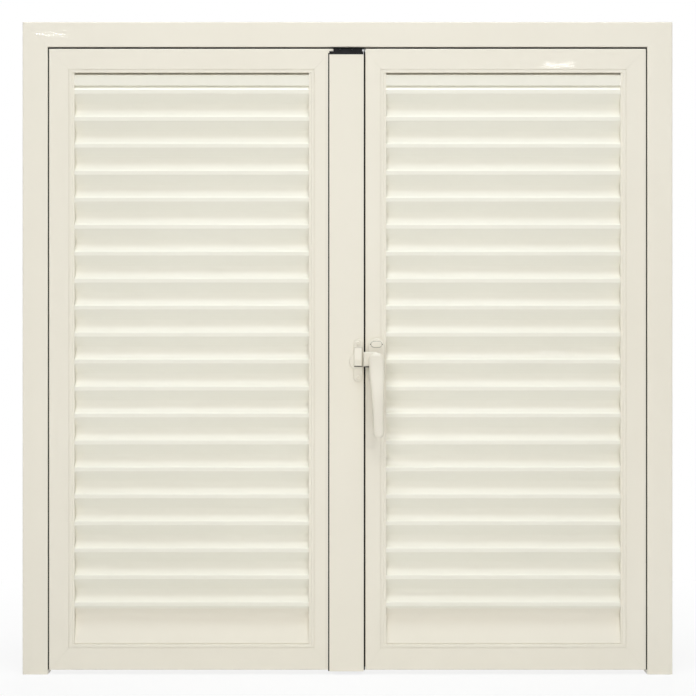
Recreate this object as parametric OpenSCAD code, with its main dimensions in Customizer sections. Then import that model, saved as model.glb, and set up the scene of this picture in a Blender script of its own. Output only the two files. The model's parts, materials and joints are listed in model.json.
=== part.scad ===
// Two-leaf louvred shutter in a three-sided frame, made from lacquered aluminium extrusions.
// X runs across, Y from the room side (front) to the outside (back), Z up from the jamb feet.
// Depths named v are measured back from the frame's front face.

/* [Frame] */
// Overall width over the jambs
frame_w = 1200; // [1000:5:1600]
// Overall height from the jamb feet to the top of the head
frame_h = 1205; // [1000:5:1800]
// Width of the frame's front face
frame_face = 46.5; // [42:0.5:60]
// Depth of the frame
frame_depth = 40; // [38:0.5:55]
// Wall of the frame extrusion
frame_wall = 1.8; // [1.4:0.1:2.4]
// Rounding of the frame's front edges
frame_edge_r = 2; // [1:0.1:3]
// Gap between the head and each leaf
leaf_gap = 3.2; // [2.8:0.1:4.5]
// Gap between the jambs and the leaves
side_gap = 2.2; // [1.8:0.1:4]
// Distance of the wall fixings from the jamb's two ends
fixing_inset = 220; // [150:5:330]
// Radius of the wall fixing holes
fixing_r = 4.5; // [3.5:0.25:6]
// Radius of the access holes opposite the wall fixings
access_r = 8; // [7:0.5:9]
// Clearance between the gasket strips and the leaves
gasket_air = 0.8; // [0.5:0.1:1]
// Width of the gasket strips
gasket_w = 6; // [4:0.5:7]
// Depth of the gasket strips behind the frame's front
gasket_set = 4; // [3:0.5:5]

/* [Leaves] */
// Height of the leaves' lower edge above the jamb feet
leaf_foot = 8.4; // [4:0.2:15]
// Setback of the leaf face behind the frame face
leaf_set = 1; // [0.5:0.1:2]
// Face width of the hinge stiles
stile_face = 43; // [38:0.5:60]
// Face width of the top rails
top_rail_face = 44.3; // [40:0.1:60]
// Face width of the bottom rails
bottom_rail_face = 47; // [42:0.5:80]
// Distance between the two louvred openings
mullion_w = 135; // [130:1:150]
// Face width of the right leaf's meeting stile
meeting_face = 34.6; // [34:0.1:36]
// Wall of the leaf extrusion
leaf_wall = 1.6; // [1.3:0.1:2]
// Rounding of the leaf's front edges
leaf_edge_r = 1.5; // [0.8:0.1:2.5]
// Width of the bead round the louvred opening
bead_w = 6.5; // [5:0.5:9]
// Width and depth of the groove beside the bead
groove = 0.8; // [0.5:0.1:1]
// Overlap of the rear lap behind the frame
lap_w = 7; // [5:0.5:8]
// Thickness of the rear lap
lap_t = 2.4; // [2:0.1:3]
// Gap between the rear lap and the frame's back
lap_gap = 0.6; // [0.4:0.1:1.5]

/* [Slats] */
// Nominal height from one slat nose to the next
slat_pitch = 49.8; // [46:0.1:60]
// Sheet thickness of a slat
slat_t = 1.4; // [1:0.1:2]
// Height of a slat's upright nose
nose_h = 7; // [4:0.5:9]
// Setback of the noses behind the leaf face
nose_set = 2.2; // [1.5:0.1:4]
// Depth of the long leg behind the nose
leg_depth = 32; // [26:0.5:33]
// Drop of the long leg below the nose
leg_drop = 48; // [42:0.5:50]
// Height of the upright hem at the leg's foot
hem_h = 4; // [2:0.5:6]
// Rise of the curved crest above the nose
crest_rise = 22; // [16:0.5:23]
// Air between a crest's top edge and the leg above it
crest_air = 0.8; // [0.6:0.1:1.2]
// Height from the opening's top to the first nose
top_zone = 31.4; // [30:0.1:40]
// Height from the opening's bottom to the last nose
bottom_zone = 77.4; // [70:0.1:90]
// Thickness of the slat carriers
carrier_t = 4; // [3.5:0.1:6]
// Depth of the pockets in the slat carriers
pocket_depth = 2.5; // [2:0.1:2.9]
// Setback of the carriers from the leaf's front and back
carrier_set = 1.2; // [1:0.1:1.4]
// Clearance round a slat in its pocket
slat_air = 0.15; // [0.1:0.05:0.3]
// Height of the top filler strip
top_filler_h = 24; // [20:0.5:25]
// Height of the shadow step above the top filler strip
step_h = 3.2; // [2:0.1:5]
// Depth of the shadow step
step_depth = 8; // [5:0.5:12]
// Height of the bottom filler strip
bottom_filler_h = 34; // [24:0.5:40]
// Depth of the fold at the lower edge of the top filler strip
filler_fold = 5.4; // [3:0.1:5.6]
// Rise of the curved crest on the bottom filler strip
filler_crest = 16; // [12:0.5:18]
// Depth of the filler strips' flanges
filler_depth = 24; // [15:0.5:30]

/* [Astragal] */
// Width of the astragal's front plate
astragal_w = 62.8; // [58:0.1:64]
// Thickness of the astragal's front plate
astragal_t = 3; // [2.5:0.1:4]
// Lap of the astragal over the left leaf
astragal_lap = 7.4; // [6:0.1:9]
// Gap between the astragal and the right leaf
meeting_gap = 3.7; // [3.5:0.1:4.2]
// Distance of the astragal's top below the leaf's top
astragal_short = 8; // [6:0.5:12]
// Distance of the astragal's foot below the leaves
astragal_drop = 2.2; // [0:0.1:4]
// Wall of the astragal's hollow body
astragal_wall = 1.8; // [1.5:0.1:2.2]
// Clearance kept along the swinging edges
swing_air = 0.35; // [0.3:0.05:0.4]
// Depth of the seals at the rear of the meeting edges
seal_w = 6; // [4:0.5:8]

/* [Hinges] */
// Height of a hinge
hinge_h = 90; // [70:1:120]
// Distance of the hinges from the leaf's two ends
hinge_inset = 140; // [110:5:220]
// Distance of the hinge axis outside the frame's inner face
hinge_reach = 15; // [14.5:0.25:17]
// Outer radius of the knuckles
knuckle_r = 7.5; // [7:0.1:8]
// Radius of the hinge pins
pin_r = 4; // [3:0.1:4.5]
// Wall of the nylon bushes
bush_t = 1.5; // [1:0.1:1.8]
// Thickness of the wings
wing_t = 2.5; // [2:0.1:3]
// Length of the frame wings beyond the axis
frame_wing = 27; // [24:0.5:30]
// Length of the leaf wings beyond the axis
leaf_wing = 40; // [36:0.5:46]

/* [Latch] */
// Height of the lever's pivot above the jamb feet
handle_z = 580; // [400:5:800]
// Distance of the lever's pivot from the meeting edge of the right leaf
handle_inset = 20.3; // [19:0.1:21]
// Width of the handle base
base_w = 30; // [29:0.5:31]
// Height of the handle base
base_h = 85; // [75:1:100]
// Thickness of the handle base
base_t = 10; // [8:0.5:14]
// Distance of the pivot above the middle of the base
base_shift = 2; // [0:0.5:5]
// Radius of the lever's hub
hub_r = 14; // [13:0.5:14.5]
// Length of the lever's hub
hub_len = 28; // [24:0.5:36]
// Length of the lever from the pivot to the tip
lever_len = 142; // [110:1:170]
// Width of the lever's grip
grip_w = 20; // [17:0.5:22]
// Thickness of the lever
lever_t = 13; // [10:0.5:15]
// Distance that the grip stands out from the hub
grip_out = 13.5; // [8:0.5:18]
// Sideways lean of the lever's tip
lever_lean = 3.8; // [2:0.1:5]
// Height of the spur
spur_h = 27; // [18:0.5:28]
// Height of the spur's middle above the pivot
spur_rise = 2; // [0:0.5:4]
// Thickness of the spur
spur_t = 6; // [4:0.5:8]
// Radius of the lever's pivot pin
pivot_r = 5; // [4:0.1:6]
// Height of the latch keeper
keeper_h = 80; // [70:1:90]
// Width of the latch keeper
keeper_w = 17; // [15:0.5:18]
// Thickness of the keeper's plate
keeper_t = 3.5; // [2.5:0.1:4]
// Height of the keeper's ramp
ramp_h = 34.5; // [28:0.5:36]
// Height of the ramp's middle above the pivot
ramp_rise = 6.8; // [4:0.1:8]
// Projection of the keeper's ramp
ramp_t = 12; // [8:0.1:13]

/* [Flush bolts] */
// Radius of the flush bolts
bolt_r = 5; // [4:0.1:6]
// Length of a flush bolt
bolt_len = 120; // [100:1:160]
// Travel of a flush bolt
bolt_throw = 18; // [14:0.5:22]
// Length of the guide inside the astragal
guide_len = 40; // [30:1:50]

/* [Fasteners and fits] */
// Shank radius of the screws
screw_r = 2; // [1.5:0.1:2.2]
// Head radius of the screws
screw_head_r = 3.8; // [3.2:0.1:4]
// Head height of the screws
screw_head_h = 2.2; // [1.6:0.1:2.4]
// Shank length of the screws
screw_len = 9; // [8:0.5:10]
// Radial clearance of the turning and sliding fits
run_air = 0.05; // [0.03:0.01:0.08]
// Radial clearance of the tight fits
fit_air = 0.02; // [0.01:0.01:0.03]
// Clearance of inserted and resting pieces
slip_air = 0.2; // [0.15:0.05:0.3]

/* [Hidden] */
$fn = 48;

cream = [0.93, 0.91, 0.85];
black = [0.06, 0.06, 0.06];
steel = [0.70, 0.70, 0.71];
nylon = [0.88, 0.88, 0.86];

// A cut runs past the face that it opens by this much.
over = 1;
// Clearances and small allowances that go with a piece rather than with a size of the shutter
screw_hole_air = 0.1;
bolt_hole_air = 2.2;
plate_air = 0.5;
cap_air = 0.8;
seal_ledge = 2;
back_step = 1;
// A mitre's cutting wedge runs past the corner by this share of the face.
mitre_over = 0.4;

// Leaf outline
leaf_back = frame_depth + lap_gap + lap_t;
leaf_depth = leaf_back - leaf_set;
leaf_x = frame_w / 2 - frame_face - side_gap;
leaf_top = frame_h - frame_face - leaf_gap;
leaf_bottom = leaf_foot;
side_lap = side_gap + lap_w;
top_lap = leaf_gap + lap_w;
panel_out = leaf_x - stile_face;
panel_in = mullion_w / 2;
panel_top = leaf_top - top_rail_face;
panel_bottom = leaf_bottom + bottom_rail_face;

// Hinges
knuckle_air = 0.5;
axis_x = frame_w / 2 - frame_face + hinge_reach;
axis_v = frame_depth + knuckle_air + knuckle_r;
knuckle_gap = 0.5;
knuckle_h = hinge_h / 3;
hinge_zs = [leaf_bottom + hinge_inset, leaf_top - hinge_inset - hinge_h];
hinge_screw_inset = 18;
wing_margin = 9;
knuckle_tab = 1.5;
frame_screw_x = axis_x + frame_wing - wing_margin;
leaf_screw_x = axis_x - leaf_wing + wing_margin;
pin_head_h = 2;
pin_head_ledge = 1.5;
pin_head_r = pin_r + pin_head_ledge;

// Meeting edges: a corner that lies d in front of the hinge axis sweeps d * d / (2 * r) sideways
function sweep(v, x) = pow(axis_v - v, 2) / (2 * (axis_x + x));
right_meet = panel_in - meeting_face;
plate_right = right_meet - meeting_gap;
plate_left = plate_right - astragal_w;
plate_back = leaf_set - plate_air;
plate_front = plate_back - astragal_t;
left_meet = -(plate_left + astragal_lap);
body_right = plate_right - seal_ledge;
body_back = leaf_back - back_step;
right_seal_x = plate_right + sweep(plate_front, plate_right) + swing_air;
left_seal_x = right_meet - sweep(leaf_set, -right_meet) - swing_air;
astragal_top = leaf_top - astragal_short;
cap_top = leaf_top - cap_air;
cap_step = 2.8;
cap_setback = 1;
cap_slot_x = 11;
cap_slot_w = 2.4;
cap_slot_d = 3;
plate_edge_r = 1.2;

// Slats
slat_zone = panel_top - top_zone - panel_bottom - bottom_zone;
slat_n = 1 + round(slat_zone / slat_pitch);
slat_step = slat_zone / (slat_n - 1);
slat_v = leaf_set + nose_set + slat_t / 2;
leg_fall = leg_depth / leg_drop;
leg_share = norm([leg_depth, leg_drop]) / leg_drop;
crest_steps = 5;
// A crest is an arc that ends upright, just in front of the leg of the slat that sits a step above it.
function crest_depth(step, rise) =
    (step - nose_h - rise) * leg_fall - slat_t / 2 * (1 + leg_share) - crest_air;
function arc_r(depth, rise) = (depth * depth + rise * rise) / (2 * depth);
function arc_points(depth, rise, r) = [for (i = [0:crest_steps - 1])
    let (a = acos((r - depth) / r) * i / crest_steps)
    [depth - r * (1 - cos(a)), rise - r * sin(a)]];
function crest(step, rise) =
    let (depth = crest_depth(step, rise)) arc_points(depth, rise, arc_r(depth, rise));
slat_path = concat(crest(slat_step, crest_rise), [[0, 0], [0, -nose_h], [leg_depth, -nose_h - leg_drop],
    [leg_depth, -nose_h - leg_drop - hem_h]]);
filler_t = 1.4;
filler_v = leaf_set + nose_set + filler_t / 2;
slat_end = carrier_t - pocket_depth + slip_air;

// Latch
pivot_x = right_meet + handle_inset;
base_front = leaf_set - base_t;
washer_t = 0.8;
washer_air = 0.1;
hub_back = base_front - washer_t - 2 * washer_air;
hub_front = hub_back - hub_len;
neck_v = hub_front + lever_t / 2;
grip_v = neck_v - grip_out;
grip_front = grip_v - lever_t / 2;
neck_drop = 44;
neck_shoulder = 14;
grip_edge_r = 4;
spur_front = hub_back - spur_t;
spur_tip = left_seal_x + sweep(spur_front, -left_seal_x) + swing_air;
pivot_depth = 18;
base_recess = 3;
washer_ledge = 2;
base_mid = handle_z - base_shift;
base_screw_inset = 11.1;
base_screw_rise = base_h / 2 - base_screw_inset;
base_screw_seat = base_front + base_recess;
cover_w = 20;
cover_h = 10.6;
cover_t = 1.5;
keeper_front = plate_front - ramp_t;
keeper_right = right_seal_x - sweep(keeper_front, right_seal_x) - swing_air;
keeper_left = keeper_right - keeper_w;
keeper_screw_rise = keeper_h / 2 - keeper_w / 2;
ramp_level = 12;
shoulder_r = 16.5;
shoulder_drop = 2;

// Flush bolts
bolt_x = (plate_left + plate_right) / 2;
bolt_v = frame_depth / 2;
tab_r = 4;
tab_margin = 6;
tab_drop = bolt_len - tab_r - tab_margin;
strike_w = 44;
strike_d = 19;
strike_t = 1.5;
strike_screw_x = 15;
astragal_bottom = leaf_bottom - astragal_drop;
astragal_screw_zs = [hinge_zs[0], (leaf_top + leaf_bottom) / 2, hinge_zs[1]];

// The depth of the whole shutter, from the grip to the knuckles, is centred on the origin.
face_y = -(grip_front + axis_v + knuckle_r) / 2;

// Outline of a folded band of thickness t along the points p, with its ends run on by e
function unit(d) = d / norm(d);
function leg_normal(p, i) = let(d = unit(p[i + 1] - p[i])) [-d[1], d[0]];
function corner(p, i, h) = let(a = leg_normal(p, i - 1), b = leg_normal(p, i))
    p[i] + (a + b) * h / (1 + a * b);
function band_side(p, h, e) = let(n = len(p) - 1)
    [for (i = [0:n])
        i == 0 ? p[0] - unit(p[1] - p[0]) * e + leg_normal(p, 0) * h
        : i == n ? p[n] + unit(p[n] - p[n - 1]) * e + leg_normal(p, n - 1) * h
        : corner(p, i, h)];
function turned(p) = [for (i = [len(p) - 1:-1:0]) p[i]];
function band(p, t, e = 0) = concat(band_side(p, t / 2, e), turned(band_side(p, -t / 2, e)));

// Placing and sweeping
module placed() { translate([0, face_y, 0]) children(); }
module along_x(x0, x1) { translate([x0, 0, 0]) rotate([90, 0, 90]) linear_extrude(x1 - x0) children(); }
module along_z(z0, z1) { translate([0, 0, z0]) linear_extrude(z1 - z0) children(); }
module along_v(v0, v1) { translate([0, v1, 0]) rotate([90, 0, 0]) linear_extrude(v1 - v0) children(); }
module left_side() { mirror([1, 0, 0]) children(); }
module both_sides() {
    children();
    left_side() children();
}
module swapped() { mirror([1, -1]) children(); }

// Round pieces and fasteners
module rod_z(r, z0, z1) { translate([0, 0, z0]) cylinder(r = r, h = z1 - z0); }
module rod_v(r, v0, v1) { translate([0, v0, 0]) rotate([-90, 0, 0]) cylinder(r = r, h = v1 - v0); }
module stadium(w, h) {
    r = min(w, h) / 2;
    translate([-w / 2 + (w > h ? r : 0), -h / 2 + (w > h ? 0 : r)])
        square([w - (w > h ? 2 * r : 0), h - (w > h ? 0 : 2 * r)]);
    for (s = [-1, 1]) translate([w > h ? s * (w / 2 - r) : 0, w > h ? 0 : s * (h / 2 - r)]) circle(r);
}
module screw(len = screw_len) {
    rod_z(screw_r, -over / 2, len);
    rod_z(screw_head_r, -screw_head_h, 0);
}
module screw_hole() { rod_z(screw_r + screw_hole_air, -screw_len - over, screw_len + over); }
module to_back() { rotate([-90, 0, 0]) children(); }
module to_front() { rotate([90, 0, 0]) children(); }
module to_left() { rotate([0, -90, 0]) children(); }

// Extrusion sections: first coordinate from the outer edge inwards, second from front to back
module round_front(w, d, r) {
    translate([0, r]) square([w, d - r]);
    translate([r, 0]) square([w - 2 * r, r]);
    for (a = [r, w - r]) translate([a, r]) circle(r);
}
module tube_section(w, d, wall, r) {
    difference() {
        round_front(w, d, r);
        translate([wall, wall]) square([w - 2 * wall, d - 2 * wall]);
    }
}
module leaf_section(w, lap) {
    difference() {
        tube_section(w, leaf_depth, leaf_wall, leaf_edge_r);
        translate([w - bead_w, -over]) square([groove, groove + over]);
    }
    if (lap > 0) translate([-lap, leaf_depth - lap_t]) square([lap + leaf_wall, lap_t]);
}

// Mitred corners: the cutting line runs through the outer and the inner corner
function mitre(outer, inner, k) = outer + (inner - outer) * k;
module wedge(outer_a, inner_a, outer_b, inner_b) {
    along_v(-over, leaf_back + over) polygon([mitre(outer_a, inner_a, -mitre_over),
        mitre(outer_a, inner_a, 1 + mitre_over), mitre(outer_b, inner_b, 1 + mitre_over),
        mitre(outer_b, inner_b, -mitre_over)]);
}

// Frame
frame_out = [frame_w / 2, frame_h];
frame_in = frame_out - [frame_face, frame_face];
module frame_tube() { tube_section(frame_face, frame_depth, frame_wall, frame_edge_r); }
module jamb() {
    difference() {
        intersection() {
            translate([frame_w / 2, 0, 0]) mirror([1, 0, 0]) along_z(0, frame_h) frame_tube();
            wedge(frame_out, frame_in, [frame_out[0], -frame_face], [frame_in[0], -frame_face]);
        }
        for (z = [fixing_inset, frame_h - fixing_inset])
            translate([frame_w / 2 + over, frame_depth / 2, z]) to_left() {
                rod_z(fixing_r, 0, over + frame_wall + over);
                rod_z(access_r, frame_face - frame_wall, frame_face + 2 * over);
            }
        for (z = hinge_zs) translate([0, frame_depth + wing_t, z]) frame_wing_screws() screw_hole();
    }
}
module frame_wing_screws() {
    for (z = [hinge_screw_inset, hinge_h - hinge_screw_inset])
        translate([frame_screw_x, 0, z]) to_front() children();
}
module frame_head() {
    color(cream) placed() difference() {
        intersection() {
            translate([0, 0, frame_h]) mirror([0, 0, 1])
                along_x(-frame_w / 2, frame_w / 2) swapped() frame_tube();
            wedge(frame_out, frame_in, [-frame_out[0], frame_out[1]], [-frame_in[0], frame_in[1]]);
        }
        bolt_hole(frame_in[1], frame_in[1] + frame_wall);
        strike_screw_places() screw_hole();
    }
}
module frame_right_jamb() { color(cream) placed() jamb(); }
module frame_left_jamb() { color(cream) placed() left_side() jamb(); }

// An angle cleat fills the corner of two hollow members; it grows from the outer corner to -X and -Z.
cleat_leg = 45;
cleat_wall = 4;
module angle(wx, wz, inset) {
    translate([-wx - cleat_leg + inset, -wz + inset]) square([wx + cleat_leg - 2 * inset, wz - 2 * inset]);
    translate([-wx + inset, -wz - cleat_leg + inset]) square([wx - 2 * inset, wz + cleat_leg - 2 * inset]);
}
// Where the two faces differ in width, the mitre slants the walls' ends, and the cleat stays clear of them.
module cleat(face_x, face_z, wall, v0, v1) {
    inset = wall * max(face_x / face_z, face_z / face_x) + slip_air;
    wx = face_x - 2 * inset;
    wz = face_z - 2 * inset;
    translate([-inset, 0, -inset])
        along_v(v0 + wall + slip_air, v1 - wall - slip_air) difference() {
            angle(wx, wz, 0);
            angle(wx, wz, cleat_wall);
        }
}
module frame_corner_cleats() {
    color(steel) placed() both_sides()
        translate([frame_out[0], 0, frame_out[1]]) cleat(frame_face, frame_face, frame_wall, 0, frame_depth);
}
module frame_gaskets() {
    side_t = side_gap - gasket_air;
    head_t = leaf_gap - gasket_air;
    head_end = frame_in[0] - side_t - slip_air;
    color(black) placed() {
        both_sides() along_z(leaf_foot, frame_in[1]) translate([frame_in[0] - side_t, gasket_set])
            square([side_t, gasket_w]);
        along_x(-head_end, head_end) translate([gasket_set, frame_in[1] - head_t])
            square([gasket_w, head_t]);
    }
}

// Hinges: the frame wing carries the two outer knuckles, the leaf wing the middle one
module knuckle(z0, z1, bore) {
    translate([axis_x, axis_v, 0]) difference() {
        rod_z(knuckle_r, z0, z1);
        rod_z(bore, z0 - over, z1 + over);
    }
}
module frame_hinge_wing() {
    plate_x = axis_x + knuckle_r - knuckle_gap;
    plate_end = axis_x + frame_wing;
    difference() {
        union() {
            along_z(0, hinge_h) translate([plate_x, frame_depth]) square([plate_end - plate_x, wing_t]);
            for (z = [0, 2 * knuckle_h + knuckle_gap])
                along_z(z, z + knuckle_h - knuckle_gap) translate([axis_x + knuckle_tab, frame_depth])
                    square([plate_x - axis_x, wing_t]);
        }
        frame_wing_hole_places() screw_hole();
    }
    for (z = [0, 2 * knuckle_h + knuckle_gap]) knuckle(z, z + knuckle_h - knuckle_gap, pin_r + fit_air);
}
module frame_wing_hole_places() { translate([0, frame_depth + wing_t, 0]) frame_wing_screws() children(); }
module at_hinges() { for (z = hinge_zs) translate([0, 0, z]) children(); }
module frame_hinge_wings() { color(cream) placed() both_sides() at_hinges() frame_hinge_wing(); }
module frame_hinge_screws() {
    color(steel) placed() both_sides() at_hinges() frame_wing_hole_places() screw();
}
module hinge_pins() {
    color(steel) placed() both_sides() at_hinges() translate([axis_x, axis_v, 0]) {
        rod_z(pin_r, 0, hinge_h + pin_head_h / 2);
        rod_z(pin_head_r, hinge_h, hinge_h + pin_head_h);
    }
}
bush_r = pin_r + run_air + bush_t;
module leaf_hinge_wing() {
    plate_end = frame_w / 2 - frame_face + lap_w;
    plate_x = axis_x - leaf_wing;
    difference() {
        union() {
            along_z(0, hinge_h) translate([plate_x, leaf_back]) square([plate_end - plate_x, wing_t]);
            along_z(knuckle_h, 2 * knuckle_h) translate([plate_end - over, leaf_back])
                square([axis_x - bush_r + over - plate_end, wing_t]);
            translate([axis_x, axis_v, 0]) rod_z(knuckle_r, knuckle_h, 2 * knuckle_h);
        }
        translate([axis_x, axis_v, 0]) rod_z(bush_r + fit_air, knuckle_h - over, 2 * knuckle_h + over);
        leaf_wing_hole_places() screw_hole();
    }
}
module leaf_wing_hole_places() {
    for (z = [hinge_screw_inset, hinge_h - hinge_screw_inset])
        translate([leaf_screw_x, leaf_back + wing_t, z]) to_front() children();
}
module leaf_hinge_bush() {
    translate([axis_x, axis_v, 0]) difference() {
        rod_z(bush_r, knuckle_h, 2 * knuckle_h);
        rod_z(pin_r + run_air, knuckle_h - over, 2 * knuckle_h + over);
    }
}

// One leaf, drawn as the right one; meet is the place of its meeting edge
function hinge_out(z) = [leaf_x, z];
module hinge_stile() {
    difference() {
        intersection() {
            translate([leaf_x, leaf_set, 0]) mirror([1, 0, 0])
                along_z(leaf_bottom, leaf_top + top_lap) leaf_section(stile_face, side_lap);
            wedge(hinge_out(leaf_top), [panel_out, panel_top],
                hinge_out(leaf_bottom), [panel_out, panel_bottom]);
        }
        at_hinges() leaf_wing_hole_places() screw_hole();
    }
}
module meeting_stile(meet) {
    intersection() {
        translate([meet, leaf_set, 0]) along_z(leaf_bottom, leaf_top) leaf_section(panel_in - meet, 0);
        wedge([meet, leaf_top], [panel_in, panel_top], [meet, leaf_bottom], [panel_in, panel_bottom]);
    }
}
module top_rail(meet) {
    intersection() {
        translate([0, leaf_set, leaf_top]) mirror([0, 0, 1])
            along_x(meet, leaf_x + side_lap) swapped() leaf_section(top_rail_face, top_lap);
        wedge(hinge_out(leaf_top), [panel_out, panel_top], [meet, leaf_top], [panel_in, panel_top]);
    }
}
module bottom_rail(meet) {
    intersection() {
        translate([0, leaf_set, leaf_bottom])
            along_x(meet, leaf_x) swapped() leaf_section(bottom_rail_face, 0);
        wedge(hinge_out(leaf_bottom), [panel_out, panel_bottom],
            [meet, leaf_bottom], [panel_in, panel_bottom]);
    }
}
module leaf_cleats(meet) {
    meet_face = panel_in - meet;
    translate([leaf_x, 0, leaf_top]) cleat(stile_face, top_rail_face, leaf_wall, leaf_set, leaf_back);
    translate([leaf_x, 0, leaf_bottom]) mirror([0, 0, 1])
        cleat(stile_face, bottom_rail_face, leaf_wall, leaf_set, leaf_back);
    translate([meet, 0, leaf_top]) mirror([1, 0, 0])
        cleat(meet_face, top_rail_face, leaf_wall, leaf_set, leaf_back);
    translate([meet, 0, leaf_bottom]) mirror([1, 0, 0]) mirror([0, 0, 1])
        cleat(meet_face, bottom_rail_face, leaf_wall, leaf_set, leaf_back);
}

// Louvred panel
module slat_section(air) {
    translate([slat_v, 0]) polygon(band(slat_path, slat_t + 2 * air, air));
}
module at_slats() {
    for (i = [0:slat_n - 1]) translate([0, 0, panel_top - top_zone - i * slat_step]) children();
}
module slats() { at_slats() along_x(panel_in + slat_end, panel_out - slat_end) slat_section(0); }
module carrier(x0, pocket_x) {
    difference() {
        along_z(panel_bottom, panel_top) translate([x0, leaf_set + carrier_set])
            square([carrier_t, leaf_depth - 2 * carrier_set]);
        at_slats() along_x(pocket_x, pocket_x + pocket_depth + over) slat_section(slat_air);
    }
}
module outer_carrier() { carrier(panel_out - carrier_t, panel_out - carrier_t - over); }
module inner_carrier() { carrier(panel_in, panel_in + carrier_t - pocket_depth); }
module filler(h, step, rim) {
    edge = filler_t / 2;
    shoulder = step > 0 ? [[step_depth, edge], [step_depth, step + edge]] : [];
    path = concat([[filler_depth, edge]], shoulder, [[0, step + edge]], rim);
    along_x(panel_in + carrier_t + slip_air, panel_out - carrier_t - slip_air) translate([filler_v, 0])
        difference() {
            polygon(band(path, filler_t));
            translate([-filler_t / 2 - over, h - 2 * groove]) square([over + groove / 2, groove]);
        }
}
module top_filler() {
    fold_h = top_filler_h - filler_t / 2;
    rim = [[0, fold_h], [filler_fold, fold_h]];
    translate([0, 0, panel_top]) mirror([0, 0, 1]) filler(top_filler_h, step_h, rim);
}
module bottom_filler() {
    arc = crest(bottom_zone - bottom_filler_h, filler_crest);
    rim = [for (p = concat([[0, 0]], turned(arc))) p + [0, bottom_filler_h]];
    translate([0, 0, panel_bottom]) filler(bottom_filler_h, 0, rim);
}

// Left leaf nodes
module left_hinge_stile() { color(cream) placed() left_side() hinge_stile(); }
module left_meeting_stile() {
    color(cream) placed() difference() {
        left_side() meeting_stile(left_meet);
        astragal_screw_places() screw_hole();
    }
}
module left_top_rail() { color(cream) placed() left_side() top_rail(left_meet); }
module left_bottom_rail() { color(cream) placed() left_side() bottom_rail(left_meet); }
module left_corner_cleats() { color(steel) placed() left_side() leaf_cleats(left_meet); }
module left_outer_slat_carrier() { color(cream) placed() left_side() outer_carrier(); }
module left_inner_slat_carrier() { color(cream) placed() left_side() inner_carrier(); }
module left_slats() { color(cream) placed() left_side() slats(); }
module left_top_filler() { color(cream) placed() left_side() top_filler(); }
module left_bottom_filler() { color(cream) placed() left_side() bottom_filler(); }
module left_hinge_wings() { color(cream) placed() left_side() at_hinges() leaf_hinge_wing(); }
module left_hinge_bushes() { color(nylon) placed() left_side() at_hinges() leaf_hinge_bush(); }
module left_hinge_screws() { color(steel) placed() left_side() at_hinges() leaf_wing_hole_places() screw(); }

// Right leaf nodes
module right_hinge_stile() { color(cream) placed() hinge_stile(); }
module right_meeting_stile() {
    color(cream) placed() difference() {
        meeting_stile(right_meet);
        base_screw_places() screw_hole();
    }
}
module right_top_rail() { color(cream) placed() top_rail(right_meet); }
module right_bottom_rail() { color(cream) placed() bottom_rail(right_meet); }
module right_corner_cleats() { color(steel) placed() leaf_cleats(right_meet); }
module right_outer_slat_carrier() { color(cream) placed() outer_carrier(); }
module right_inner_slat_carrier() { color(cream) placed() inner_carrier(); }
module right_slats() { color(cream) placed() slats(); }
module right_top_filler() { color(cream) placed() top_filler(); }
module right_bottom_filler() { color(cream) placed() bottom_filler(); }
module right_hinge_wings() { color(cream) placed() at_hinges() leaf_hinge_wing(); }
module right_hinge_bushes() { color(nylon) placed() at_hinges() leaf_hinge_bush(); }
module right_hinge_screws() { color(steel) placed() at_hinges() leaf_wing_hole_places() screw(); }
module meeting_seal() {
    color(black) placed() along_z(leaf_bottom, leaf_top)
        translate([right_seal_x, leaf_back - seal_w]) square([right_meet - right_seal_x, seal_w]);
}

// Astragal on the left leaf
module astragal_screw_places() {
    for (z = astragal_screw_zs)
        translate([-left_meet + astragal_wall, bolt_v, z]) to_left() children();
}
module bolt_slot(z0, z1) {
    translate([body_right - astragal_wall - over, bolt_v - tab_r - slip_air, z0 - tab_r - slip_air])
        cube([astragal_wall + 2 * over, 2 * (tab_r + slip_air), z1 - z0 + 2 * (tab_r + slip_air)]);
}
module astragal() {
    top_tab = cap_top - tab_drop;
    bottom_tab = astragal_bottom + tab_drop;
    color(cream) placed() difference() {
        union() {
            along_z(astragal_bottom, astragal_top) translate([plate_left, plate_front])
                round_front(astragal_w, astragal_t, plate_edge_r);
            along_z(astragal_bottom, astragal_top) translate([-left_meet, plate_back - over]) difference() {
                square([body_right + left_meet, body_back - plate_back + over]);
                translate([astragal_wall, over + astragal_wall])
                    square([body_right + left_meet - 2 * astragal_wall,
                        body_back - plate_back - 2 * astragal_wall]);
            }
        }
        astragal_screw_places() {
            screw_hole();
            rod_z(screw_head_r + over, -body_right - left_meet, -2 * astragal_wall - screw_head_h - over);
        }
        bolt_slot(top_tab, top_tab + bolt_throw);
        bolt_slot(bottom_tab - bolt_throw, bottom_tab);
        keeper_screw_places() screw_hole();
    }
}
module astragal_gasket() {
    lip = 1.4;
    inner = 2;
    color(black) placed() along_z(astragal_bottom, astragal_top)
        translate([plate_left - lip, plate_back]) square([lip + astragal_lap - inner, leaf_set - plate_back]);
}
module astragal_seal() {
    color(black) placed() along_z(astragal_bottom, astragal_top)
        translate([body_right, body_back - seal_w]) square([left_seal_x - body_right, seal_w]);
}
module astragal_screws() { color(steel) placed() astragal_screw_places() screw(); }
module cap_plug(z0, z1) {
    inset = astragal_wall + slip_air;
    along_z(z0, z1) translate([-left_meet + inset, plate_back + inset])
        square([body_right + left_meet - 2 * inset, body_back - plate_back - 2 * inset]);
}
module bolt_bore(z0, z1) { translate([bolt_x, bolt_v, 0]) rod_z(bolt_r + run_air, z0 - over, z1 + over); }
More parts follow.
